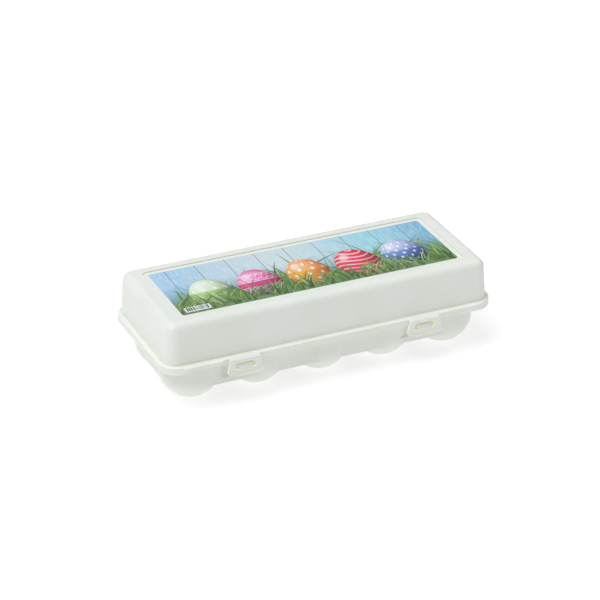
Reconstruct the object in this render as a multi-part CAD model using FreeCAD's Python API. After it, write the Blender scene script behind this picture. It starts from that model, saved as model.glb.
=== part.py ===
import FreeCAD, Part
import math
import os

from FreeCAD import Vector

# Egg carton for ten eggs, moulded in polypropylene: a tray with ten cups, a deep lid,
# two snap flaps on thin living hinges, and living hinges along the back.
# Units are millimetres. X runs along the carton, -Y is the front with the flaps, +Z is up.
# The z = 0 plane is the surface that the ten cups stand on.

# How far two bodies run into each other before they are fused, and how far a cutter runs past a face
OVERLAP = 1.0
INTO_PLATE = 0.5
TOLERANCE = 0.01

# Driving dimensions: cups
PITCH = 50.0
COLUMNS = 5
ROW_Y = 23.5
CUP_R = 22.56
CUP_CENTRE_Z = 22.3
CUP_DRAFT_DEG = 1.8
WALL = 1.25

# Driving dimensions: tray rim and the webs between the cups
DECK_Z0 = 35.6
DECK_Z1 = 37.0
RIM_HX = 127.6
RIM_HY = 50.8
RIM_CORNER_R = 16.0
WEB_OFFSET_TOP = 20.3
WEB_OFFSET_BOTTOM = 19.9
WEB_Z0 = 13.9
WEB_FILLET_R = 9.0
MOUTH_R = 0.7

# Driving dimensions: lid
LID_GAP = 0.2
FLANGE_Z0 = DECK_Z1 + LID_GAP
FLANGE_Z1 = 38.55
FLANGE_HX = 129.8
FLANGE_HY = 53.0
FLANGE_CORNER_R = 15.0
FLANGE_EDGE_R = 0.6
SKIRT = 1.3
SKIRT_Z0 = 33.1
FRONT_SKIRT_Z0 = 33.9
FRONT_STRIP_HX = 116.0
FRONT_Y = -53.8
FRONT_STRIP_DEPTH = 5.0
SKIRT_BACK_Y = 48.2
THUMB_X0 = -116.0
THUMB_X1 = -87.0
THUMB_PROUD = 1.3
THUMB_Z0 = 36.0
LID_TOP_Z = 69.76
LID_FOOT_HX = 126.4
LID_FOOT_HY = 49.8
LID_FOOT_R = 9.5
LID_DRAFT = 2.3
LID_FOOT_FILLET_R = 0.9
LID_EDGE_R = 6.0
LID_WALL = 1.4
LID_ROOF = 2.0

# Driving dimensions: label and its pocket
POCKET_HX = 111.5
POCKET_HY = 37.3
POCKET_R = 3.5
POCKET_DEPTH = 0.92
LABEL_HX = 107.9
LABEL_HY = 33.75
LABEL_R = 2.0
LABEL_T = 0.12

# Driving dimensions: snap flaps, their hinges and the catches on the tray
LATCH_X = 70.2
FLAP_Y0 = -56.2
FLAP_T = 1.5
FLAP_TOP_Z = 37.0
FLAP_TOP_HX = 11.9
FLAP_SIDE_Z = 26.8
FLAP_BOTTOM_HX = 13.9
FLAP_BOTTOM_Z = 24.9
FLAP_CORNER_R = 2.0
FLAP_EDGE_R = 0.4
LIP_PROUD = 0.9
LIP_DROP = 1.1
LIP_CREASE_Z = 26.3
LIP_CREASE_R = 49.0
WINDOW_HX = 7.8
WINDOW_Z0 = 29.95
WINDOW_Z1 = 35.0
WINDOW_R = 0.6
TOOTH_HX = 5.7
TOOTH_TOP_Y = -55.2
TOOTH_BOTTOM_Y = -56.5
TOOTH_Z0 = 30.25
TOOTH_Z1 = 33.7
TOOTH_EDGE_R = 0.35
TOOTH_ROOT = 0.2
TAB_HX = 9.0
TAB_Y0 = -54.1
TAB_T = 1.3
TAB_Z0 = 27.2
SKIRT_GAP_HX = 12.4
LATCH_POCKET_HX = 13.8
LATCH_POCKET_FRONT_Y = -50.0
LATCH_POCKET_Y_TOP = -38.4
LATCH_POCKET_Y_BOTTOM = -43.4
LATCH_POCKET_Z0 = 19.0
LATCH_POCKET_Z1 = 33.9
LATCH_POCKET_R = 2.0
LATCH_POCKET_IN_CUP = 0.55
FLAP_HINGE_INSET = 0.2
FLAP_HINGE_DROP = 0.1
FLAP_HINGE_TOP_T = 0.7
FLAP_HINGE_FOOT_T = 0.8

# Driving dimensions: back hinge
BACK_HINGE_X = (-80.0, 0.0, 80.0)
BACK_HINGE_HX = 22.0
BACK_HINGE_Y = 53.0
BACK_FOLD_R = 0.8
BACK_HINGE_T = 0.5

CUP_XY = [(PITCH * (i - (COLUMNS - 1) / 2), side * ROW_Y) for side in (-1, 1) for i in range(COLUMNS)]

# The footprint is centred on the origin: the flaps reach further than the back hinge.
FRONT_REACH = FLAP_Y0 - LIP_PROUD
BACK_REACH = BACK_HINGE_Y + BACK_FOLD_R + BACK_HINGE_T / 2
CENTRE_SHIFT = Vector(0, -(FRONT_REACH + BACK_REACH) / 2, 0)


def box(x0, x1, y0, y1, z0, z1):
    return Part.makeBox(x1 - x0, y1 - y0, z1 - z0, Vector(x0, y0, z0))


def rounded_rect_wire(hx, hy, r, z):
    """A rectangle with round corners, centred on the Z axis, as one closed wire."""
    edges = []
    c = math.sqrt(0.5) * r
    for sx, sy, start_on_x in ((1, 1, False), (-1, 1, True), (-1, -1, False), (1, -1, True)):
        centre = Vector(sx * (hx - r), sy * (hy - r), z)
        on_x = Vector(sx * hx, sy * (hy - r), z)
        on_y = Vector(sx * (hx - r), sy * hy, z)
        middle = centre + Vector(sx * c, sy * c, 0)
        first, last = (on_y, on_x) if start_on_x else (on_x, on_y)
        if edges:
            edges.append(Part.LineSegment(previous, first).toShape())
        else:
            start = first
        edges.append(Part.Arc(first, middle, last).toShape())
        previous = last
    edges.append(Part.LineSegment(previous, start).toShape())
    return Part.Wire(edges)


def rounded_prism(hx, hy, r, z0, z1):
    return Part.Face(rounded_rect_wire(hx, hy, r, z0)).extrude(Vector(0, 0, z1 - z0))


def polygon_prism(points, direction):
    return Part.Face(Part.makePolygon(points + [points[0]])).extrude(direction)


def edges_where(shape, test):
    return [edge for edge in shape.Edges if test(edge)]


def edge_middle(edge):
    return edge.valueAt((edge.FirstParameter + edge.LastParameter) / 2)


# Tray

def cup_profile_solid(radius, bottom_z, top_z):
    """A round cup: part of a ball with a flat underneath, then a wall that leans out to the rim."""
    draft = math.radians(CUP_DRAFT_DEG)
    down = CUP_CENTRE_Z - bottom_z
    flat_r = math.sqrt(max(radius * radius - down * down, 0.0))
    a_start = math.acos(down / radius) if flat_r > 0 else 0.0
    a_end = math.pi / 2 - draft
    a_mid = (a_start + a_end) / 2

    def on_ball(angle):
        return Vector(radius * math.sin(angle), 0, CUP_CENTRE_Z - radius * math.cos(angle))

    tangent = on_ball(a_end)
    top = Vector(tangent.x + (top_z - tangent.z) * math.tan(draft), 0, top_z)
    edges = [Part.Arc(on_ball(a_start), on_ball(a_mid), tangent).toShape()]
    edges.append(Part.LineSegment(tangent, top).toShape())
    edges.append(Part.LineSegment(top, Vector(0, 0, top_z)).toShape())
    axis_bottom = Vector(0, 0, bottom_z if flat_r > 0 else CUP_CENTRE_Z - radius)
    edges.append(Part.LineSegment(Vector(0, 0, top_z), axis_bottom).toShape())
    if flat_r > 0:
        edges.append(Part.LineSegment(axis_bottom, on_ball(a_start)).toShape())
    return Part.Face(Part.Wire(edges)).revolve(Vector(0, 0, 0), Vector(0, 0, 1), 360)


def web_profile(offset_base, sign):
    """Cross-section of a web wall, as pairs of distance and height."""
    outer_top = offset_base + WEB_OFFSET_TOP
    outer_bottom = offset_base + WEB_OFFSET_BOTTOM
    z1 = DECK_Z0 + INTO_PLATE
    pairs = [(outer_bottom, WEB_Z0), (outer_top, z1), (outer_top - WALL, z1), (outer_bottom - WALL, WEB_Z0)]
    return [(sign * d, z) for d, z in pairs]


def tray_webs():
    webs = []
    end_x = PITCH * (COLUMNS - 1) / 2
    for sign in (-1, 1):
        side = [Vector(-end_x, d, z) for d, z in web_profile(ROW_Y, sign)]
        webs.append(polygon_prism(side, Vector(2 * end_x, 0, 0)))
        end = [Vector(d, -ROW_Y, z) for d, z in web_profile(end_x, sign)]
        webs.append(polygon_prism(end, Vector(0, 2 * ROW_Y, 0)))
    return webs


def is_outer_crease(edge):
    """True for the line where a cup's outside meets the outer face of a web."""
    p = edge_middle(edge)
    end_x = PITCH * (COLUMNS - 1) / 2
    lean = (WEB_OFFSET_TOP - WEB_OFFSET_BOTTOM) / (DECK_Z0 + INTO_PLATE - WEB_Z0)
    offset = WEB_OFFSET_BOTTOM + lean * (p.z - WEB_Z0)
    on_side = abs(abs(p.y) - ROW_Y - offset) < 2 * TOLERANCE and abs(p.x) < end_x
    on_end = abs(abs(p.x) - end_x - offset) < 2 * TOLERANCE and abs(p.y) < ROW_Y
    upright = edge.BoundBox.ZLength > (DECK_Z0 - WEB_Z0) / 4
    return upright and (on_side or on_end)


def latch_pocket(centre_x, hx, back, z0, z1):
    """The space in front of a leaning plane behind a flap: the pocket there fades out towards the bottom."""
    lean = (LATCH_POCKET_Y_TOP - LATCH_POCKET_Y_BOTTOM) / (LATCH_POCKET_Z1 - LATCH_POCKET_Z0)
    y_low = LATCH_POCKET_Y_BOTTOM + lean * (z0 - LATCH_POCKET_Z0) + back
    y_high = LATCH_POCKET_Y_BOTTOM + lean * (z1 - LATCH_POCKET_Z0) + back
    section = [Vector(centre_x - hx, LATCH_POCKET_FRONT_Y, z) for z in (z0, z1)]
    section += [Vector(centre_x - hx, y_high, z1), Vector(centre_x - hx, y_low, z0)]
    return polygon_prism(section, Vector(2 * hx, 0, 0))


def latch_backing(centre_x):
    """The wall behind a latch pocket."""
    hx = LATCH_POCKET_HX + WALL
    z0, z1 = LATCH_POCKET_Z0 - OVERLAP, DECK_Z0 + INTO_PLATE
    return latch_pocket(centre_x, hx, WALL, z0, z1).cut(latch_pocket(centre_x, hx, 0, z0, z1))


def latch_recess(centre_x, cups_kept):
    """What is cut away behind a flap: deep in the web, and only shallow in the cups beside it."""
    recess = latch_pocket(centre_x, LATCH_POCKET_HX, 0, LATCH_POCKET_Z0, LATCH_POCKET_Z1)
    corners = edges_where(recess, lambda e: abs(edge_middle(e).z - LATCH_POCKET_Z1) < TOLERANCE
                          and e.BoundBox.YLength > e.BoundBox.XLength)
    return recess.makeFillet(LATCH_POCKET_R, corners).cut(cups_kept)


def tray_catch(centre_x):
    """A tab that hangs from the rim, with the tooth that the flap's window snaps over."""
    left, right = centre_x - TAB_HX, centre_x + TAB_HX
    left_of_tooth = centre_x - TOOTH_HX
    tab = box(left, right, TAB_Y0, TAB_Y0 + TAB_T, TAB_Z0, DECK_Z1)
    shelf = box(left, right, TAB_Y0, -RIM_HY + OVERLAP, DECK_Z0, DECK_Z1)
    root_y = TAB_Y0 + TOOTH_ROOT
    ramp = [(root_y, TOOTH_Z0), (TOOTH_BOTTOM_Y, TOOTH_Z0), (TOOTH_TOP_Y, TOOTH_Z1), (root_y, TOOTH_Z1)]
    tooth = polygon_prism([Vector(left_of_tooth, y, z) for y, z in ramp], Vector(2 * TOOTH_HX, 0, 0))
    front_edges = edges_where(tooth, lambda e: edge_middle(e).y < TOOTH_TOP_Y + TOLERANCE)
    tooth = tooth.makeFillet(TOOTH_EDGE_R, front_edges)
    return tab.fuse([shelf, tooth])


def is_cup_mouth(edge):
    """True for the round edge where a cavity opens in the deck."""
    b = edge.BoundBox
    return b.ZMin > DECK_Z1 - TOLERANCE and b.XLength > CUP_R and abs(b.XLength - b.YLength) < TOLERANCE


def make_tray():
    cup = cup_profile_solid(CUP_R, 0.0, DECK_Z0 + INTO_PLATE)
    cavity = cup_profile_solid(CUP_R - WALL, CUP_CENTRE_Z - CUP_R + WALL, DECK_Z1 + OVERLAP)
    cups = [cup.translated(Vector(x, y, 0)) for x, y in CUP_XY]
    outside = cups[0].fuse(cups[1:] + tray_webs())
    creases = edges_where(outside, is_outer_crease)
    outside = outside.makeFillet(WEB_FILLET_R, creases)
    parts = [rounded_prism(RIM_HX, RIM_HY, RIM_CORNER_R, DECK_Z0, DECK_Z1)]
    parts += [tray_catch(side * LATCH_X) for side in (-1, 1)]
    for x in BACK_HINGE_X:
        left, right = x - BACK_HINGE_HX, x + BACK_HINGE_HX
        parts.append(box(left, right, RIM_HY - OVERLAP, BACK_HINGE_Y, DECK_Z0, DECK_Z1))
    parts += [latch_backing(side * LATCH_X) for side in (-1, 1)]
    tray = outside.fuse(parts)
    tray = tray.cut([cavity.translated(Vector(x, y, 0)) for x, y in CUP_XY])
    kept = cup_profile_solid(CUP_R - LATCH_POCKET_IN_CUP, CUP_CENTRE_Z - CUP_R + LATCH_POCKET_IN_CUP, DECK_Z1)
    front_cups = [kept.translated(Vector(x, y, 0)) for x, y in CUP_XY if y < 0]
    tray = tray.cut([latch_recess(side * LATCH_X, front_cups) for side in (-1, 1)]).removeSplitter()
    return tray.makeFillet(MOUTH_R, edges_where(tray, is_cup_mouth))


# Lid

def lid_block(inset, z0, z1, edge_r):
    """The lid's drafted block with round corners and a round top edge; inset makes the inner one."""
    slope = LID_DRAFT / (LID_TOP_Z - FLANGE_Z0)

    def shrunk(size, z):
        return size - inset - slope * (z - FLANGE_Z0)

    corner_x = LID_FOOT_HX - LID_FOOT_R
    corner_y = LID_FOOT_HY - LID_FOOT_R
    r0, r1 = shrunk(LID_FOOT_R, z0), shrunk(LID_FOOT_R, z1)
    cones = [Part.makeCone(r0, r1, z1 - z0, Vector(sx * corner_x, sy * corner_y, z0))
             for sx in (-1, 1) for sy in (-1, 1)]
    y0, y1 = shrunk(LID_FOOT_HY, z0), shrunk(LID_FOOT_HY, z1)
    along_x = [Vector(-corner_x, y, z) for y, z in ((-y0, z0), (y0, z0), (y1, z1), (-y1, z1))]
    x0, x1 = shrunk(LID_FOOT_HX, z0), shrunk(LID_FOOT_HX, z1)
    along_y = [Vector(x, -corner_y, z) for x, z in ((-x0, z0), (x0, z0), (x1, z1), (-x1, z1))]
    block = polygon_prism(along_x, Vector(2 * corner_x, 0, 0))
    block = block.fuse([polygon_prism(along_y, Vector(0, 2 * corner_y, 0))] + cones).removeSplitter()
    return rounded_top(block, z1, edge_r)


def rounded_top(solid, z, radius):
    level = edges_where(solid, lambda e: e.BoundBox.ZLength < TOLERANCE)
    rim = [edge for edge in level if abs(edge.BoundBox.ZMin - z) < TOLERANCE]
    return solid.makeFillet(radius, rim)


def top_front_edges(solid, y):
    """The edge of the flange's top along its front, at y."""
    return edges_where(solid, lambda e: abs(edge_middle(e).z - FLANGE_Z1) < TOLERANCE
                       and abs(edge_middle(e).y - y) < TOLERANCE)


def is_dome_foot(edge):
    """True for the crease where the dome's walls rise from the flange."""
    p = edge_middle(edge)
    level = abs(edge.BoundBox.ZMax - FLANGE_Z1) < TOLERANCE and edge.BoundBox.ZLength < TOLERANCE
    return level and abs(p.x) < LID_FOOT_HX and abs(p.y) < LID_FOOT_HY


def make_lid():
    plate = rounded_prism(FLANGE_HX, FLANGE_HY, FLANGE_CORNER_R, FLANGE_Z0, FLANGE_Z1)
    plate = rounded_top(plate, FLANGE_Z1, FLANGE_EDGE_R)
    outer = rounded_prism(FLANGE_HX, FLANGE_HY, FLANGE_CORNER_R, SKIRT_Z0, FLANGE_Z0 + INTO_PLATE)
    inner = rounded_prism(FLANGE_HX - SKIRT, FLANGE_HY - SKIRT, FLANGE_CORNER_R - SKIRT, SKIRT_Z0 - OVERLAP,
                          FLANGE_Z1)
    skirt = outer.cut(inner)
    skirt = skirt.cut(box(-FLANGE_HX, FLANGE_HX, SKIRT_BACK_Y, FLANGE_HY + OVERLAP, SKIRT_Z0 - OVERLAP,
                          FLANGE_Z1))
    strip = box(-FRONT_STRIP_HX, FRONT_STRIP_HX, FRONT_Y, FRONT_Y + FRONT_STRIP_DEPTH, FLANGE_Z0, FLANGE_Z1)
    strip = strip.makeFillet(FLANGE_EDGE_R, top_front_edges(strip, FRONT_Y))
    front_y1 = FRONT_Y + SKIRT
    front = box(-FRONT_STRIP_HX, FRONT_STRIP_HX, FRONT_Y, front_y1, FRONT_SKIRT_Z0, FLANGE_Z0 + INTO_PLATE)
    skirt = skirt.cut(box(-FRONT_STRIP_HX + SKIRT, FRONT_STRIP_HX - SKIRT, FRONT_Y - OVERLAP,
                          -FLANGE_HY + SKIRT + OVERLAP, SKIRT_Z0 - OVERLAP, FLANGE_Z0))
    for side in (-1, 1):
        gap_x = side * LATCH_X
        front = front.cut(box(gap_x - SKIRT_GAP_HX, gap_x + SKIRT_GAP_HX, FRONT_Y - OVERLAP,
                              front_y1 + OVERLAP, SKIRT_Z0, FLANGE_Z0))
    thumb = box(THUMB_X0, THUMB_X1, FRONT_Y - THUMB_PROUD, FRONT_Y + OVERLAP, THUMB_Z0, FLANGE_Z1)
    thumb_front = edges_where(thumb, lambda e: abs(edge_middle(e).y - FRONT_Y + THUMB_PROUD) < TOLERANCE)
    thumb = thumb.makeFillet(FLANGE_EDGE_R, thumb_front)
    dome = lid_block(0.0, FLANGE_Z0, LID_TOP_Z, LID_EDGE_R)
    lid = plate.fuse([skirt, strip, front, thumb, dome])
    lid = lid.makeFillet(LID_FOOT_FILLET_R, edges_where(lid, is_dome_foot))
    lid = lid.cut(lid_block(LID_WALL, FLANGE_Z0 - OVERLAP, LID_TOP_Z - LID_ROOF, LID_EDGE_R - LID_WALL))
    floor_z = LID_TOP_Z - POCKET_DEPTH
    lid = lid.cut(rounded_prism(POCKET_HX, POCKET_HY, POCKET_R, floor_z, LID_TOP_Z + OVERLAP))
    return lid.removeSplitter()


def make_label():
    floor_z = LID_TOP_Z - POCKET_DEPTH
    return rounded_prism(LABEL_HX, LABEL_HY, LABEL_R, floor_z, floor_z + LABEL_T)


# Snap flaps

def flap_outline_face(centre_x, y):
    """The flap seen from the front: narrow at the top, bowed and rounded at the bottom."""
    def at(x, z):
        return Vector(centre_x + x, y, z)

    top_l, top_r = at(-FLAP_TOP_HX, FLAP_TOP_Z), at(FLAP_TOP_HX, FLAP_TOP_Z)
    side_l, side_r = at(-FLAP_BOTTOM_HX, FLAP_SIDE_Z), at(FLAP_BOTTOM_HX, FLAP_SIDE_Z)
    edges = [Part.LineSegment(top_l, top_r).toShape()]
    edges.append(Part.LineSegment(top_r, side_r).toShape())
    edges.append(Part.Arc(side_r, at(0, FLAP_BOTTOM_Z), side_l).toShape())
    edges.append(Part.LineSegment(side_l, top_l).toShape())
    return Part.Face(Part.Wire(edges))


def flap_blank(centre_x, y0, y1):
    """The flap's outline with round bottom corners, as a plate from y0 to y1."""
    blank = flap_outline_face(centre_x, y0).extrude(Vector(0, y1 - y0, 0))

    def is_bottom_corner(edge):
        p = edge_middle(edge)
        at_side = abs(abs(p.x - centre_x) - FLAP_BOTTOM_HX) < TOLERANCE
        return at_side and edge.BoundBox.YLength > edge.BoundBox.ZLength

    return blank.makeFillet(FLAP_CORNER_R, edges_where(blank, is_bottom_corner))


def flap_lip(centre_x):
    """The finger lip along the flap's foot, which flares out below a curved crease."""
    half = 1.3 * FLAP_BOTTOM_HX
    end_z = LIP_CREASE_Z + half * half / (2 * LIP_CREASE_R)
    high_z = FLAP_TOP_Z + 2 * LIP_DROP + OVERLAP

    def at(x, z):
        return Vector(centre_x + x, FLAP_Y0, z)

    crease = Part.Arc(at(-half, end_z), at(0, LIP_CREASE_Z), at(half, end_z)).toShape()
    above = Part.makePolygon([at(half, end_z), at(half, high_z), at(-half, high_z), at(-half, end_z)])
    slanted = Part.Face(Part.Wire([crease] + above.Edges)).extrude(Vector(0, -2 * LIP_PROUD, -2 * LIP_DROP))
    return flap_blank(centre_x, FLAP_Y0 - LIP_PROUD, FLAP_Y0).cut(slanted)


def make_flap(centre_x):
    flap = flap_blank(centre_x, FLAP_Y0, FLAP_Y0 + FLAP_T)

    def is_rounded(edge):
        """The front outline above the lip."""
        p = edge_middle(edge)
        return abs(p.y - FLAP_Y0) < TOLERANCE and p.z > FLAP_SIDE_Z + FLAP_CORNER_R

    flap = flap.makeFillet(FLAP_EDGE_R, edges_where(flap, is_rounded))
    window = box(centre_x - WINDOW_HX, centre_x + WINDOW_HX, FLAP_Y0 - OVERLAP, FLAP_Y0 + FLAP_T + OVERLAP,
                 WINDOW_Z0, WINDOW_Z1)
    corners = edges_where(window, lambda e: e.BoundBox.YLength > FLAP_T)
    window = window.makeFillet(WINDOW_R, corners)
    return flap.fuse(flap_lip(centre_x)).cut(window).removeSplitter()


def make_flap_hinge(centre_x):
    """The thin web that slopes from the lid's flange edge down to the top of a flap."""
    flange_z = FLANGE_Z1 - FLAP_HINGE_DROP
    flap_y = FLAP_Y0 + FLAP_HINGE_DROP
    points = [(FRONT_Y, flange_z), (flap_y, FLAP_TOP_Z + FLAP_HINGE_DROP), (flap_y, FLAP_TOP_Z)]
    points += [(flap_y + FLAP_HINGE_FOOT_T, FLAP_TOP_Z), (FRONT_Y, flange_z - FLAP_HINGE_TOP_T)]
    half = FLAP_TOP_HX - FLAP_HINGE_INSET
    return polygon_prism([Vector(centre_x - half, y, z) for y, z in points], Vector(2 * half, 0, 0))


# Back hinge

def make_back_hinge(centre_x):
    """A folded web, C-shaped when closed, from the tray's rim round to the lid's flange."""
    middle_z = (DECK_Z1 + FLANGE_Z0) / 2
    big = BACK_FOLD_R + BACK_HINGE_T / 2
    small = BACK_FOLD_R - BACK_HINGE_T / 2
    x = centre_x - BACK_HINGE_HX

    def at(radius, angle):
        a = math.radians(angle)
        return Vector(x, BACK_HINGE_Y + radius * math.cos(a), middle_z + radius * math.sin(a))

    edges = [Part.Arc(at(big, -90), at(big, 0), at(big, 90)).toShape()]
    edges.append(Part.LineSegment(at(big, 90), at(small, 90)).toShape())
    edges.append(Part.Arc(at(small, 90), at(small, 0), at(small, -90)).toShape())
    edges.append(Part.LineSegment(at(small, -90), at(big, -90)).toShape())
    return Part.Face(Part.Wire(edges)).extrude(Vector(2 * BACK_HINGE_HX, 0, 0))


def build_nodes():
    nodes = {"tray": make_tray(), "lid": make_lid(), "label": make_label()}
    for name, x in (("left", -LATCH_X), ("right", LATCH_X)):
        nodes["latch_flap_" + name] = make_flap(x)
        nodes["latch_hinge_" + name] = make_flap_hinge(x)
    for name, x in zip(("left", "middle", "right"), BACK_HINGE_X):
        nodes["back_hinge_" + name] = make_back_hinge(x)
    return nodes


os.makedirs("parts", exist_ok=True)
for node_name, shape in build_nodes().items():
    placed = shape.Solids[0].translated(CENTRE_SHIFT)
    placed.exportStep(os.path.join("parts", node_name + ".step"))
    b = placed.optimalBoundingBox(False)
    print(node_name, len(shape.Solids), placed.isValid(), round(placed.Volume, 1),
          [round(v, 2) for v in (b.XMin, b.XMax, b.YMin, b.YMax, b.ZMin, b.ZMax)])
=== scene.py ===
import math
import random

import bpy
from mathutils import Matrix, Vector


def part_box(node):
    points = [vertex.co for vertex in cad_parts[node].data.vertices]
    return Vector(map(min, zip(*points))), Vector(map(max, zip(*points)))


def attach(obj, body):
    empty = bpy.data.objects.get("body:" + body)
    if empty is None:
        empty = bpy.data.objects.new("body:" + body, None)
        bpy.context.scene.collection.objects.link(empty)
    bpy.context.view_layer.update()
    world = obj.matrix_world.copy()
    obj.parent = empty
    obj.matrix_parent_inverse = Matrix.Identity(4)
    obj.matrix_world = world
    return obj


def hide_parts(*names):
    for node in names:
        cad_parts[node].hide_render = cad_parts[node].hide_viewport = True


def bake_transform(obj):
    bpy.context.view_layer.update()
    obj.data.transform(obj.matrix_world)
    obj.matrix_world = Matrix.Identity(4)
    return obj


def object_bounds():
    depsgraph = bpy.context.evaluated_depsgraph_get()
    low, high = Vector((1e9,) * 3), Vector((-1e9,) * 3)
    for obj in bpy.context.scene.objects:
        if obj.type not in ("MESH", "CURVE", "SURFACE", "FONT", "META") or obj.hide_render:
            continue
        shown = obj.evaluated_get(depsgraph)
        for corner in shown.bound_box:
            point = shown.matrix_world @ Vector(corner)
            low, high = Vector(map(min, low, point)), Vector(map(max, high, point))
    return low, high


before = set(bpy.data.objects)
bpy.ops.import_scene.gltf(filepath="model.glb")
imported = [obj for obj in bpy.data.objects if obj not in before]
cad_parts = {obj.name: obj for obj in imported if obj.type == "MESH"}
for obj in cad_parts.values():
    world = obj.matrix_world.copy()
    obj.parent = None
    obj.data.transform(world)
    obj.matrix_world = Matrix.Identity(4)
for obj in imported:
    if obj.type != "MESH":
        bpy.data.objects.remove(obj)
cad_low, cad_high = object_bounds()

MM = 0.001
LABEL_LOW, LABEL_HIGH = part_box("label")
LABEL_MIDDLE = (LABEL_LOW + LABEL_HIGH) / 2
LABEL_TOP = LABEL_HIGH.z
LABEL_HX = (LABEL_HIGH.x - LABEL_LOW.x) / 2
LABEL_HY = (LABEL_HIGH.y - LABEL_LOW.y) / 2

# Places on the carton, in millimetres. The first ones are worked out from the CAD nodes.
FLANGE_TOP_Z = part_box("latch_hinge_left")[1].z / MM + 0.1
LID_TOP_Z = cad_high.z / MM
FLAP_FRONT_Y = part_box("latch_hinge_left")[0].y / MM
LATCH_X = -(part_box("latch_flap_left")[0].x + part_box("latch_flap_left")[1].x) / 2 / MM
LABEL_Y = LABEL_MIDDLE.y / MM
POCKET_MARGIN = 3.7
POCKET_REACH_X = LABEL_HX / MM + POCKET_MARGIN
POCKET_REACH_Y = LABEL_HY / MM + POCKET_MARGIN
WINDOW_REACH_X = 7.9
WINDOW_Z = (29.9, 35.1)
TOOTH_REACH_X = 5.6
TOOTH_Z = (30.3, 33.6)
LIP_REACH_X = 12.5
LIP_CREASE_Z = 26.3
LIP_CREASE_R = 49.0

# How much yellow painted shade each place takes, standing in for light bounced inside the milky plastic in
# its creases and gaps, and the glow painted on the flaps' window walls
FOOT_PAINTED_SHADE = 0.35
WALL_PAINTED_SHADE = 0.45
LIP_PAINTED_SHADE = 0.5
TRAY_WINDOW_PAINTED_SHADE = 0.25
FLAP_WINDOW_PAINTED_SHADE = 0.6
WINDOW_GLOW = (0.45, 0.45, 0.30, 1.0)

# The label's picture, in millimetres
BOARD_WIDTH = 23.2
BOARD_OFFSET = 119.1
BARS_WIDTH = 19.5
BARS_HEIGHT = 7.0
EGG_LIGHT = (-0.42, 0.50, 0.757)
TALL_SHARE = 0.13
TALL_TIMES = 1.5
LEAN_SPREAD = 0.52

# Its layers of ink, counted in steps of LAYER above the film
LAYER = 0.03 * MM
BACK_LAYER = 1.0
EGG_LAYER = 3
FRONT_LAYER = 4.0
GRASS_DEPTH = 1.6
PANEL_LAYER = 8.0
BAR_LAYER = 8.4

# The living hinges, in metres
FLAP_WEB_TOP_T = 0.7 * MM
FLAP_WEB_FOOT_T = 0.8 * MM
FLAP_WEB_FOOT_DROP = 0.1 * MM
GROOVE_DEPTH = 0.10 * MM
GROOVE_WIDTH = 0.06
GROOVES_AT = (0.14, 0.86)
BULGE = 0.12 * MM
BACK_WEB_T = 0.5 * MM

# Floor and light
FLOOR_HALF = 6.0
FLOOR_GLOW = 0.64
SKY_HORIZON = 0.08
SKY_TOP = 0.95
KEY_ENERGY = 1.55
KEY_ANGLE_DEG = 40
KEY_COLOUR = (0.96, 1.0, 1.05)
KEY_FROM = (-0.42, -0.08, 0.90)

# Camera
VIEW_AZIMUTH_DEG = -24.34
VIEW_ELEVATION_DEG = 28.26
VIEW_DISTANCE = 1.7893
VIEW_HEIGHT = 30 * MM
LENS_LENGTH = 146.95
SHIFT_X = -0.0069
SHIFT_Y = 0.0229

BLACK = (0.0, 0.0, 0.0, 1.0)
WHITE = (1.0, 1.0, 1.0, 1.0)


# Meshes

def mesh_object(name, points, faces, smooth=True):
    mesh = bpy.data.meshes.new(name)
    mesh.from_pydata([tuple(p) for p in points], [], faces)
    mesh.validate()
    mesh.update()
    mesh.polygons.foreach_set("use_smooth", [smooth] * len(mesh.polygons))
    obj = bpy.data.objects.new(name, mesh)
    bpy.context.scene.collection.objects.link(obj)
    return obj


def point_attribute(obj, name, kind, values):
    """Stores one vector or colour on each vertex, for the material to read."""
    attribute = obj.data.attributes.new(name, kind, "POINT")
    field = "color" if kind == "FLOAT_COLOR" else "vector"
    attribute.data.foreach_set(field, [x for value in values for x in value])


def paint(obj, material):
    obj.data.materials.clear()
    obj.data.materials.append(material)


# Materials

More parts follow.
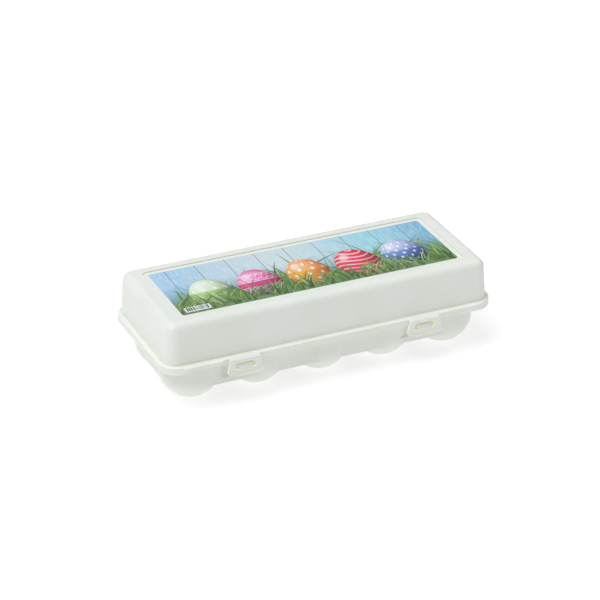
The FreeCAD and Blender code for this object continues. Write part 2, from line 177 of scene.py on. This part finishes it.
class Graph:
    """A material's nodes, with short calls that return sockets."""

    def __init__(self, name, roughness, specular):
        self.material = bpy.data.materials.new(name)
        self.material.use_nodes = True
        self.tree = self.material.node_tree
        self.shader = self.tree.nodes["Principled BSDF"]
        self.shader.inputs["Roughness"].default_value = roughness
        self.shader.inputs["Specular IOR Level"].default_value = specular

    def node(self, kind, inputs=(), **settings):
        made = self.tree.nodes.new(kind)
        for key, value in settings.items():
            setattr(made, key, value)
        for key, value in dict(inputs).items():
            self.put(made.inputs[key], value)
        return made

    def put(self, socket, value):
        if isinstance(value, bpy.types.NodeSocket):
            self.tree.links.new(value, socket)
        else:
            socket.default_value = value

    def math(self, operation, *values):
        made = self.node("ShaderNodeMath", operation=operation)
        for socket, value in zip(made.inputs, values):
            self.put(socket, value)
        return made.outputs[0]

    def place(self):
        """Object coordinates in millimetres, split into X, Y and Z."""
        at = self.node("ShaderNodeTexCoord").outputs["Object"]
        scaled = self.node("ShaderNodeVectorMath", {0: at, "Scale": 1 / MM}, operation="SCALE")
        return self.split(scaled.outputs[0])

    def split(self, vector):
        return self.node("ShaderNodeSeparateXYZ", {0: vector}).outputs[:3]

    def join(self, x, y, z=0.0):
        return self.node("ShaderNodeCombineXYZ", {0: x, 1: y, 2: z}).outputs[0]

    def noise(self, vector, scale, detail, roughness=0.5):
        inputs = {"Vector": vector, "Scale": scale, "Detail": detail, "Roughness": roughness}
        return self.node("ShaderNodeTexNoise", inputs).outputs["Fac"]

    def ramp(self, value, low, high):
        """0 below low, 1 above high, and smooth between them."""
        inputs = {"Value": value, "From Min": low, "From Max": high}
        return self.node("ShaderNodeMapRange", inputs, interpolation_type="SMOOTHSTEP").outputs[0]

    def mix(self, share, a, b, blend="MIX"):
        made = self.node("ShaderNodeMix", data_type="RGBA", blend_type=blend)
        colours = [socket for socket in made.inputs if socket.type == "RGBA"]
        self.put(made.inputs["Factor"], share)
        for socket, value in zip(colours, (a, b)):
            self.put(socket, value)
        return [socket for socket in made.outputs if socket.type == "RGBA"][0]

    def attribute(self, name, output):
        return self.node("ShaderNodeAttribute", attribute_name=name).outputs[output]

    def colour(self, value):
        self.put(self.shader.inputs["Base Color"], value)

    def bump(self, height, strength, distance):
        made = self.node("ShaderNodeBump", {"Height": height, "Strength": strength, "Distance": distance})
        self.put(self.shader.inputs["Normal"], made.outputs[0])


def rgb(red, green, blue):
    """A colour given as screen values from 0 to 255, turned into linear light."""
    def linear(value):
        share = value / 255
        return share / 12.92 if share <= 0.04045 else ((share + 0.055) / 1.055) ** 2.4
    return linear(red), linear(green), linear(blue), 1.0


def within(g, value, low, high, soft):
    """1 where value lies between low and high, fading over a distance soft outside them."""
    rise = g.ramp(value, low - soft, low)
    return g.math("MULTIPLY", rise, g.math("SUBTRACT", 1.0, g.ramp(value, high, high + soft)))


def all_of(g, *masks):
    total = masks[0]
    for mask in masks[1:]:
        total = g.math("MULTIPLY", total, mask)
    return total


def reach(g, value, far, soft):
    """1 up to far, fading over a distance soft beyond it. The value is never negative."""
    return within(g, value, -1.0, far, soft)


def from_latch(g, x):
    """How far a place is, along X, from the middle of the nearer flap."""
    return g.math("ABSOLUTE", g.math("SUBTRACT", g.math("ABSOLUTE", x), LATCH_X))


def window_mask(g, x, y, z):
    """The walls of each flap's window and the gap behind it, all round the tooth."""
    across = from_latch(g, x)
    window = all_of(g, reach(g, across, WINDOW_REACH_X, 0.1), within(g, z, *WINDOW_Z, 0.1),
                    within(g, y, FLAP_FRONT_Y + 0.6, FLAP_FRONT_Y + 3.2, 0.4))
    tooth = all_of(g, reach(g, across, TOOTH_REACH_X, 0.05), within(g, z, *TOOTH_Z, 0.05))
    return g.math("MULTIPLY", window, g.math("SUBTRACT", 1.0, tooth))


def pocket_wall_mask(g, x, y, z):
    """The wall of the shallow pocket that holds the label."""
    return all_of(g, reach(g, g.math("ABSOLUTE", x), POCKET_REACH_X, 0.2),
                  within(g, y, LABEL_Y - POCKET_REACH_Y, LABEL_Y + POCKET_REACH_Y, 0.2),
                  within(g, z, LABEL_TOP / MM + 0.1, LID_TOP_Z - 0.2, 0.1))


def lip_mask(g, x, y, z):
    """The curved crease above each flap's lip."""
    across = from_latch(g, x)
    curve = g.math("DIVIDE", g.math("MULTIPLY", across, across), 2 * LIP_CREASE_R)
    lift = g.math("SUBTRACT", g.math("SUBTRACT", z, LIP_CREASE_Z), curve)
    return all_of(g, reach(g, across, LIP_REACH_X, 1.0), within(g, lift, -0.15, 0.25, 0.3),
                  within(g, y, FLAP_FRONT_Y - 0.6, FLAP_FRONT_Y + 0.1, 0.1))


def painted_crease_shade_mask(g, x, y, z, window_painted_shade):
    """Where yellow painted shade goes, from 0 to 1: the crease at the lid's foot, the pocket wall, the
    crease above each lip and the window gaps.
    """
    foot = within(g, z, FLANGE_TOP_Z + 0.25, FLANGE_TOP_Z + 0.9, 0.2)
    painted_creases = ((foot, FOOT_PAINTED_SHADE), (pocket_wall_mask(g, x, y, z), WALL_PAINTED_SHADE),
               (lip_mask(g, x, y, z), LIP_PAINTED_SHADE), (window_mask(g, x, y, z), window_painted_shade))
    total = 0.0
    for mask, tint in painted_creases:
        total = g.math("MAXIMUM", total, g.math("MULTIPLY", mask, tint))
    return total


def white_plastic(name, window_painted_shade, window_glow=None):
    """Matte moulded polypropylene: milky, with fine spark-eroded grain and faint flow clouds, and yellow
    painted shade in its creases and window gaps.

    window_glow stands in for light that comes through a thin flap and out of its window's walls."""
    g = Graph(name, 0.42, 0.45)
    x, y, z = g.place()
    at = g.join(x, y, z)
    clouds = g.noise(at, 0.035, 3.0)
    tone = g.mix(g.ramp(clouds, 0.35, 0.65), rgb(239, 242, 233), rgb(242, 244, 237))
    specks = g.ramp(g.noise(at, 1.7, 1.0), 0.30, 0.42)
    tone = g.mix(specks, rgb(237, 239, 229), tone)
    # Yellow painted shade, standing in for light bounced inside the plastic, goes into the creases and
    # window gaps
    g.colour(g.mix(painted_crease_shade_mask(g, x, y, z, window_painted_shade), tone, rgb(240, 239, 190)))
    if window_glow:
        glow = g.mix(window_mask(g, x, y, z), BLACK, window_glow)
        g.put(g.shader.inputs["Emission Color"], glow)
        g.shader.inputs["Emission Strength"].default_value = 1.0
    dull = g.math("MULTIPLY_ADD", g.noise(at, 0.12, 4.0), 0.14, 0.36)
    g.put(g.shader.inputs["Roughness"], dull)
    g.bump(g.noise(at, 2.6, 3.0, 0.6), 0.12, 0.03 * MM)
    g.shader.inputs["Subsurface Weight"].default_value = 0.15
    g.shader.inputs["Subsurface Radius"].default_value = (1.0, 1.0, 0.85)
    g.shader.inputs["Subsurface Scale"].default_value = 1.2 * MM
    return g.material


def boards_print(name):
    """The label's background: upright painted boards that fade into dark grass at the foot."""
    g = Graph(name, 0.32, 0.5)
    x, y, _ = g.place()
    u = g.math("SUBTRACT", x, LABEL_MIDDLE.x / MM)
    v = g.math("SUBTRACT", y, LABEL_Y)
    along = g.math("DIVIDE", g.math("ADD", u, BOARD_OFFSET), BOARD_WIDTH)
    number = g.math("FLOOR", along)
    inside = g.math("FRACT", along)
    own = g.node("ShaderNodeTexWhiteNoise", {"W": number}, noise_dimensions="1D").outputs["Value"]
    left = g.mix(g.ramp(u, -112, -10), rgb(162, 210, 242), rgb(212, 230, 230))
    sky = g.mix(g.ramp(u, -10, 62), left, rgb(140, 218, 232))
    sky = g.mix(g.ramp(u, 62, 110), sky, rgb(92, 174, 216))
    sky = g.mix(g.math("MULTIPLY", own, 0.30), sky, rgb(212, 222, 242))
    wander = g.math("MULTIPLY_ADD", number, 31.7, u)
    streak_at = g.join(g.math("MULTIPLY", wander, 1.1), g.math("MULTIPLY", v, 0.09))
    streaks = g.ramp(g.noise(streak_at, 1.0, 5.0, 0.65), 0.42, 0.72)
    sky = g.mix(g.math("MULTIPLY", streaks, 0.75), sky, rgb(228, 242, 248))
    dark_at = g.join(g.math("MULTIPLY", wander, 2.3), g.math("MULTIPLY", v, 0.12), 7.0)
    grain = g.ramp(g.noise(dark_at, 1.0, 4.0, 0.7), 0.52, 0.78)
    sky = g.mix(g.math("MULTIPLY", grain, 0.40), sky, rgb(112, 168, 216))
    edge = g.math("MINIMUM", inside, g.math("SUBTRACT", 1.0, inside))
    gap = g.math("SUBTRACT", 1.0, g.ramp(edge, 0.006, 0.022))
    sky = g.mix(g.math("MULTIPLY", gap, 0.65), sky, rgb(96, 116, 136))
    wobble = g.math("MULTIPLY_ADD", g.noise(g.join(u, 0.0), 0.16, 3.0), 12.0, -6.0)
    foot = g.math("ADD", v, wobble)
    haze = g.math("SUBTRACT", 1.0, g.ramp(foot, -14.0, 12.0))
    sky = g.mix(g.math("MULTIPLY", haze, 0.55), sky, rgb(52, 128, 138))
    shade = g.math("SUBTRACT", 1.0, g.ramp(foot, -22.0, -6.0))
    blur = g.mix(g.noise(g.join(u, v), 0.3, 4.0), rgb(76, 112, 66), rgb(146, 182, 116))
    g.colour(g.mix(g.math("MULTIPLY", shade, 0.95), sky, blur))
    g.bump(g.noise(g.join(u, v), 3.0, 2.0), 0.08, 0.01 * MM)
    return g.material


def attribute_print(name, spread):
    """Ink whose colour is stored on the mesh, with a little variation."""
    g = Graph(name, 0.32, 0.5)
    x, y, _ = g.place()
    tint = g.attribute("tint", "Color")
    mottle = g.noise(g.join(x, y), 1.2, 3.0)
    dark = g.mix(1.0, tint, (1 - spread, 1 - spread, 1 - spread, 1.0), "MULTIPLY")
    g.colour(g.mix(g.ramp(mottle, 0.3, 0.7), dark, tint))
    return g.material


# The printed eggs. Each egg's mesh stores "wrap": longitude, latitude and shade.

def cell(g, value):
    """A coordinate inside its unit cell, from -0.5 to 0.5."""
    return g.math("SUBTRACT", g.math("FRACT", value), 0.5)


def dots(g, lon, lat, across, up, radius):
    row = g.math("MULTIPLY", lat, up)
    shift = g.math("MULTIPLY", g.math("FLOOR", row), 0.5)
    column = g.math("ADD", g.math("MULTIPLY", lon, across), shift)
    dx = g.math("DIVIDE", cell(g, column), across)
    dy = g.math("DIVIDE", cell(g, row), up)
    far = g.math("SQRT", g.math("ADD", g.math("MULTIPLY", dx, dx), g.math("MULTIPLY", dy, dy)))
    return g.math("SUBTRACT", 1.0, g.ramp(far, radius * 0.8, radius * 1.15))


def flowers(g, lon, lat):
    """Six-petalled flowers in staggered rows."""
    across, up, size = 1.7, 2.1, 0.15
    row = g.math("MULTIPLY", lat, up)
    shift = g.math("MULTIPLY", g.math("FLOOR", row), 0.5)
    dx = g.math("DIVIDE", cell(g, g.math("ADD", g.math("MULTIPLY", lon, across), shift)), across)
    dy = g.math("DIVIDE", cell(g, row), up)
    far = g.math("SQRT", g.math("ADD", g.math("MULTIPLY", dx, dx), g.math("MULTIPLY", dy, dy)))
    turn = g.math("COSINE", g.math("MULTIPLY", g.math("ARCTAN2", dy, dx), 6.0))
    petal = g.math("MULTIPLY_ADD", turn, 0.32 * size, 0.62 * size)
    gap = g.math("SUBTRACT", far, petal)
    return g.math("SUBTRACT", 1.0, g.ramp(gap, -0.012, 0.012))


def waves(g, lon, lat):
    """Wavy rings round the egg."""
    swing = g.math("MULTIPLY", g.math("SINE", g.math("MULTIPLY_ADD", lon, 2.6, 0.6)), 0.09)
    ring = g.math("MULTIPLY", g.math("ADD", lat, swing), 3.6)
    return g.math("SUBTRACT", 1.0, g.ramp(g.math("ABSOLUTE", cell(g, ring)), 0.11, 0.17))


def lace(g, lon, lat):
    """Zigzags and beads between plain bands."""
    zigzag = g.math("PINGPONG", g.math("MULTIPLY", lon, 2.4), 0.5)
    total = dots(g, lon, lat, 3.2, 4.5, 0.035)
    for height in (-0.50, 0.16, 0.46):
        line = g.math("ABSOLUTE", g.math("SUBTRACT", lat, g.math("MULTIPLY_ADD", zigzag, 0.34, height)))
        total = g.math("MAXIMUM", total, g.math("SUBTRACT", 1.0, g.ramp(line, 0.018, 0.034)))
    for height in (-0.30, 0.10, 0.66):
        line = g.math("ABSOLUTE", g.math("SUBTRACT", lat, height))
        total = g.math("MAXIMUM", total, g.math("SUBTRACT", 1.0, g.ramp(line, 0.016, 0.030)))
    plain = g.math("LESS_THAN", g.math("ABSOLUTE", g.math("ADD", lat, 0.10)), 0.19)
    return g.math("MULTIPLY", total, g.math("SUBTRACT", 1.0, plain))


def egg_print(name, light, deep, band, pattern, ink):
    g = Graph(name, 0.30, 0.5)
    lon, lat, shade = g.split(g.attribute("wrap", "Vector"))
    mottle = g.noise(g.join(lon, lat, 3.0), 2.2, 4.0, 0.6)
    body = g.mix(g.ramp(g.math("ADD", lat, g.math("MULTIPLY", mottle, 0.5)), -0.5, 0.9), deep, light)
    stripe = g.math("SUBTRACT", 1.0, g.ramp(g.math("ABSOLUTE", g.math("ADD", lat, 0.10)), 0.16, 0.22))
    body = g.mix(g.math("MULTIPLY", stripe, 0.75), body, band)
    body = g.mix(g.math("MULTIPLY", pattern(g, lon, lat), 0.92), body, ink)
    lit = g.mix(g.ramp(shade, 0.45, 1.0), body, rgb(255, 255, 255), "SOFT_LIGHT")
    dim = g.math("SUBTRACT", 1.0, g.ramp(shade, -0.25, 0.75))
    lit = g.mix(g.math("MULTIPLY", dim, 0.62), lit, rgb(30, 34, 70), "MULTIPLY")
    spot = g.math("MULTIPLY", g.ramp(shade, 0.93, 1.0), 0.55)
    g.colour(g.mix(spot, lit, rgb(255, 255, 255)))
    return g.material


def egg_half_width(t, half):
    """Half the egg's width at t, from -1 at the blunt foot to 1 at the pointed top."""
    return half * math.sqrt(max(1 - t * t, 0.0)) * (1 - 0.13 * t - 0.05 * t * t)


def make_egg(name, centre_x, foot_y, half, height, tilt_deg, material):
    """A flat printed egg on the label, meshed by latitude and longitude so that its pattern wraps.

    Its sizes are in millimetres from the middle of the label."""
    rows, columns = 44, 36
    middle_y = foot_y + height / 2
    tilt = math.radians(tilt_deg)
    points, wrap, faces = [], [], []
    for i in range(rows + 1):
        t = math.sin(math.pi * (i / rows - 0.5))
        for j in range(columns + 1):
            lon = math.pi * (j / columns - 0.5)
            across = egg_half_width(t, half) * math.sin(lon)
            up = t * height / 2
            x = centre_x + across * math.cos(tilt) + up * math.sin(tilt)
            y = middle_y + up * math.cos(tilt) - across * math.sin(tilt)
            points.append((LABEL_MIDDLE.x + x * MM, LABEL_MIDDLE.y + y * MM, LABEL_TOP + EGG_LAYER * LAYER))
            flat = math.sqrt(max(1 - t * t, 0.0))
            nx, ny, nz = flat * math.sin(lon), t, flat * math.cos(lon)
            shade = EGG_LIGHT[0] * nx + EGG_LIGHT[1] * ny + EGG_LIGHT[2] * nz
            wrap.append((lon, t, shade))
    for i in range(rows):
        for j in range(columns):
            a = i * (columns + 1) + j
            faces.append((a, a + 1, a + columns + 2, a + columns + 1))
    egg = mesh_object(name, points, faces)
    point_attribute(egg, "wrap", "FLOAT_VECTOR", wrap)
    paint(egg, material)
    return egg


# The printed grass

def add_blade(store, rng, x, y, length, width, lean, height, colours):
    """One blade of grass as a narrow bent strip, with one half of it in the light."""
    steps = 6
    first = len(store["points"])
    light, dark = colours
    glow = rng.uniform(0.70, 1.20)
    for i in range(steps + 1):
        t = i / steps
        bend = lean * length * t * t
        cx = x + bend
        cy = y + length * t * (1 - 0.18 * abs(lean) * t)
        half = width * (1 - t) ** 0.7 * (0.55 + 0.9 * t * (1 - t)) + 0.02
        for k in (-1, 0, 1):
            px = min(max(cx + k * half, -LABEL_HX / MM + 0.15), LABEL_HX / MM - 0.15)
            py = min(max(cy - k * half * lean * t, -LABEL_HY / MM + 0.1), LABEL_HY / MM - 0.3)
            store["points"].append((LABEL_MIDDLE.x + px * MM, LABEL_MIDDLE.y + py * MM, height))
            side = light if k <= 0 else dark
            fade = (0.58 + 0.60 * t) * glow
            store["tint"].append((side[0] * fade, side[1] * fade, side[2] * fade, 1.0))
    for i in range(steps):
        a = first + 3 * i
        store["faces"].append((a, a + 1, a + 4, a + 3))
        store["faces"].append((a + 1, a + 2, a + 5, a + 4))


def make_grass(name, seed, count, foot, lengths, widths, layer, material):
    """A field of blades with feet below foot. lengths and widths are ranges, and a few blades are tall."""
    rng = random.Random(seed)
    greens = [(rgb(162, 196, 112), rgb(98, 146, 74)), (rgb(138, 178, 98), rgb(70, 122, 62)),
              (rgb(192, 216, 148), rgb(124, 164, 92)), (rgb(108, 154, 88), rgb(50, 98, 58))]
    store = {"points": [], "faces": [], "tint": []}
    for i in range(count):
        x = rng.uniform(-LABEL_HX / MM + 1, LABEL_HX / MM - 1)
        tall = rng.random() < TALL_SHARE
        length = rng.uniform(*lengths) * (TALL_TIMES if tall else 1.0)
        lean = rng.gauss(0, LEAN_SPREAD)
        if abs(x + lean * length) > LABEL_HX / MM - 1:
            lean = -lean
        height = LABEL_TOP + (layer + GRASS_DEPTH * i / count) * LAYER
        base = rng.uniform(-LABEL_HY / MM, foot)
        add_blade(store, rng, x, base, length, rng.uniform(*widths), lean, height, rng.choice(greens))
    grass = mesh_object(name, store["points"], store["faces"], smooth=False)
    point_attribute(grass, "tint", "FLOAT_COLOR", store["tint"])
    paint(grass, material)
    return grass


def make_bars(seed):
    """A generic panel of bars at the label's front left corner."""
    rng = random.Random(seed)
    x0, y0 = -LABEL_HX / MM + 3.8, -LABEL_HY / MM + 2.2
    rects = [(x0, x0 + BARS_WIDTH, y0, y0 + BARS_HEIGHT, PANEL_LAYER, rgb(240, 243, 240))]
    x = x0 + 1.5
    while x < x0 + BARS_WIDTH - 2.0:
        bar = rng.choice((0.35, 0.6, 1.0))
        rects.append((x, x + bar, y0 + 1.4, y0 + BARS_HEIGHT - 0.8, BAR_LAYER, rgb(34, 38, 40)))
        x += bar + rng.choice((0.4, 0.6, 0.9))
    points, faces, tints = [], [], []
    for left, right, low, high, layer, colour in rects:
        first = len(points)
        z = LABEL_TOP + layer * LAYER
        for px, py in ((left, low), (right, low), (right, high), (left, high)):
            points.append((LABEL_MIDDLE.x + px * MM, LABEL_MIDDLE.y + py * MM, z))
            tints.append(colour)
        faces.append((first, first + 1, first + 2, first + 3))
    panel = mesh_object("label_bars", points, faces, smooth=False)
    point_attribute(panel, "tint", "FLOAT_COLOR", tints)
    paint(panel, attribute_print("bars_ink", 0.06))
    return panel


def make_label_print():
    paint(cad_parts["label"], boards_print("boards_ink"))
    white = rgb(250, 250, 246)
    # Name, middle in x, foot in y, half width, height, tilt, then light, deep and band colours, pattern, ink
    eggs = [
        ("egg_green", -76.2, -30.0, 16.6, 41.0, 0, rgb(204, 224, 190), rgb(162, 198, 132),
         rgb(132, 184, 92), flowers, white),
        ("egg_pink", -39.2, -29.5, 16.4, 40.5, 0, rgb(226, 110, 160), rgb(176, 92, 170),
         rgb(208, 44, 98), lace, rgb(248, 218, 232)),
        ("egg_orange", -0.8, -29.0, 16.2, 40.8, 2, rgb(246, 150, 96), rgb(246, 172, 84),
         rgb(240, 140, 40), lambda g, lon, lat: dots(g, lon, lat, 1.5, 2.6, 0.10), white),
        ("egg_red", 38.3, -30.0, 17.0, 41.5, -2, rgb(222, 58, 78), rgb(224, 72, 100),
         rgb(220, 50, 66), waves, rgb(250, 196, 204)),
        ("egg_blue", 75.8, -27.5, 16.8, 40.0, 0, rgb(166, 180, 222), rgb(44, 84, 168),
         rgb(84, 118, 196), lambda g, lon, lat: dots(g, lon, lat, 2.0, 3.6, 0.075), white),
    ]
    made = []
    for name, x, foot, half, height, tilt, *look in eggs:
        material = egg_print(name + "_ink", *look)
        made.append(make_egg("label_" + name, x, foot, half, height, tilt, material))
    green_ink = attribute_print("grass_ink", 0.25)
    made.append(make_grass("label_grass_back", 11, 150, -17, (17, 38), (0.9, 2.0), BACK_LAYER, green_ink))
    made.append(make_grass("label_grass_front", 23, 220, -28, (10, 25), (0.7, 1.4), FRONT_LAYER, green_ink))
    made.append(make_bars(5))
    for piece in made:
        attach(piece, "lid")


# Living hinges, as thin webs

def make_web(name, low_x, high_x, outer, inner, plastic):
    """A web along X between two lines of (y, z) points in metres: its outer face and its inner face."""
    columns = 16
    loop = outer + inner[::-1]
    count, rows = len(loop), len(outer)
    points, faces = [], []
    for i in range(columns + 1):
        x = low_x + (high_x - low_x) * i / columns
        points += [(x, y, z) for y, z in loop]
    for i in range(columns):
        for j in range(count):
            a, b = i * count + j, i * count + (j + 1) % count
            faces.append((a, b, b + count, a + count))
    last = columns * count
    for j in range(rows - 1):
        faces.append((j, count - 1 - j, count - 2 - j, j + 1))
        faces.append((last + j, last + j + 1, last + count - 2 - j, last + count - 1 - j))
    web = mesh_object(name, points, faces)
    web.data.set_sharp_from_angle(angle=math.radians(40))
    paint(web, plastic)
    return web


def between(a, b, t):
    return a + (b - a) * t


def make_flap_webs(plastic):
    """From the lid's flange edge down to each flap, with a thin bending line near each end."""
    steps = 20
    for side in ("left", "right"):
        low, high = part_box("latch_hinge_" + side)
        outer, inner = [], []
        for i in range(steps + 1):
            t = i / steps
            groove = GROOVE_DEPTH * sum(math.exp(-((t - at) / GROOVE_WIDTH) ** 2) for at in GROOVES_AT)
            bulge = BULGE * math.sin(math.pi * t)
            z = between(high.z, low.z + FLAP_WEB_FOOT_DROP, t)
            outer.append((between(high.y, low.y, t), z + bulge - groove))
            inner_y = between(high.y, low.y + FLAP_WEB_FOOT_T, t)
            inner.append((inner_y, between(high.z - FLAP_WEB_TOP_T, low.z, t)))
        web = make_web("flap_web_" + side, low.x, high.x, outer, inner, plastic)
        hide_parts("latch_hinge_" + side)
        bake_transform(web)


def make_back_webs(plastic):
    """The folded webs along the back, each a half-round strip in place of its CAD hinge."""
    steps = 28
    for place in ("left", "middle", "right"):
        low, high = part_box("back_hinge_" + place)
        big = (high.z - low.z) / 2
        small = big - BACK_WEB_T
        middle_z = (high.z + low.z) / 2
        outer, inner = [], []
        for i in range(steps + 1):
            turn = math.pi * (i / steps - 0.5)
            outer.append((low.y + big * math.cos(turn), middle_z + big * math.sin(turn)))
            inner.append((low.y + small * math.cos(turn), middle_z + small * math.sin(turn)))
        web = make_web("back_web_" + place, low.x, high.x, outer, inner, plastic)
        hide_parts("back_hinge_" + place)
        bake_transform(web)


def make_plastic():
    # The flaps take more yellow painted shade in their window gaps than the tray does
    plastic = white_plastic("white_polypropylene", TRAY_WINDOW_PAINTED_SHADE)
    flap_plastic = white_plastic("white_polypropylene_flap", FLAP_WINDOW_PAINTED_SHADE, WINDOW_GLOW)
    for name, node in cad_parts.items():
        if name != "label":
            paint(node, flap_plastic if name.startswith("latch_flap") else plastic)
    make_flap_webs(plastic)
    make_back_webs(plastic)


# Stage, light and camera

def make_floor():
    corners = ((-1, -1), (1, -1), (1, 1), (-1, 1))
    points = [(x * FLOOR_HALF, y * FLOOR_HALF, 0) for x, y in corners]
    floor = mesh_object("floor", points, [(0, 1, 2, 3)])
    g = Graph("floor_white", 0.9, 0.0)
    g.colour(rgb(180, 180, 180))
    g.shader.inputs["Emission Color"].default_value = WHITE
    g.shader.inputs["Emission Strength"].default_value = FLOOR_GLOW
    paint(floor, g.material)


def make_light():
    """A large soft box overhead that fades towards the horizon, and a broad key from the upper left."""
    world = bpy.data.worlds.new("studio")
    world.use_nodes = True
    tree = world.node_tree
    background = tree.nodes["Background"]
    background.inputs["Color"].default_value = WHITE
    direction = tree.nodes.new("ShaderNodeTexCoord").outputs["Generated"]
    split = tree.nodes.new("ShaderNodeSeparateXYZ")
    tree.links.new(direction, split.inputs[0])
    squared = tree.nodes.new("ShaderNodeMath")
    squared.operation = "MULTIPLY"
    tree.links.new(split.outputs["Z"], squared.inputs[0])
    tree.links.new(split.outputs["Z"], squared.inputs[1])
    strength = tree.nodes.new("ShaderNodeMapRange")
    strength.inputs["To Min"].default_value = SKY_HORIZON
    strength.inputs["To Max"].default_value = SKY_TOP
    tree.links.new(squared.outputs[0], strength.inputs["Value"])
    tree.links.new(strength.outputs[0], background.inputs["Strength"])
    bpy.context.scene.world = world
    key = bpy.data.lights.new("key", "SUN")
    key.energy = KEY_ENERGY
    key.angle = math.radians(KEY_ANGLE_DEG)
    key.color = KEY_COLOUR
    holder = bpy.data.objects.new("key", key)
    holder.rotation_mode = "QUATERNION"
    holder.rotation_quaternion = Vector(KEY_FROM).to_track_quat("Z", "Y")
    bpy.context.scene.collection.objects.link(holder)


def make_camera():
    """From the front left and above, a long lens, as the carton is pictured."""
    azimuth, elevation = math.radians(VIEW_AZIMUTH_DEG), math.radians(VIEW_ELEVATION_DEG)
    target = Vector((0, LABEL_MIDDLE.y, VIEW_HEIGHT))
    back = Vector((math.sin(azimuth) * math.cos(elevation), -math.cos(azimuth) * math.cos(elevation),
                   math.sin(elevation)))
    lens = bpy.data.cameras.new("camera")
    lens.sensor_width = 36
    lens.lens = LENS_LENGTH
    lens.shift_x = SHIFT_X
    lens.shift_y = SHIFT_Y
    lens.clip_end = 50
    holder = bpy.data.objects.new("camera", lens)
    holder.location = target + back * VIEW_DISTANCE
    holder.rotation_mode = "QUATERNION"
    holder.rotation_quaternion = back.to_track_quat("Z", "Y")
    bpy.context.scene.collection.objects.link(holder)
    bpy.context.scene.camera = holder


make_camera()
make_light()
make_floor()
make_plastic()
make_label_print()
bpy.context.scene.view_settings.view_transform = "Standard"
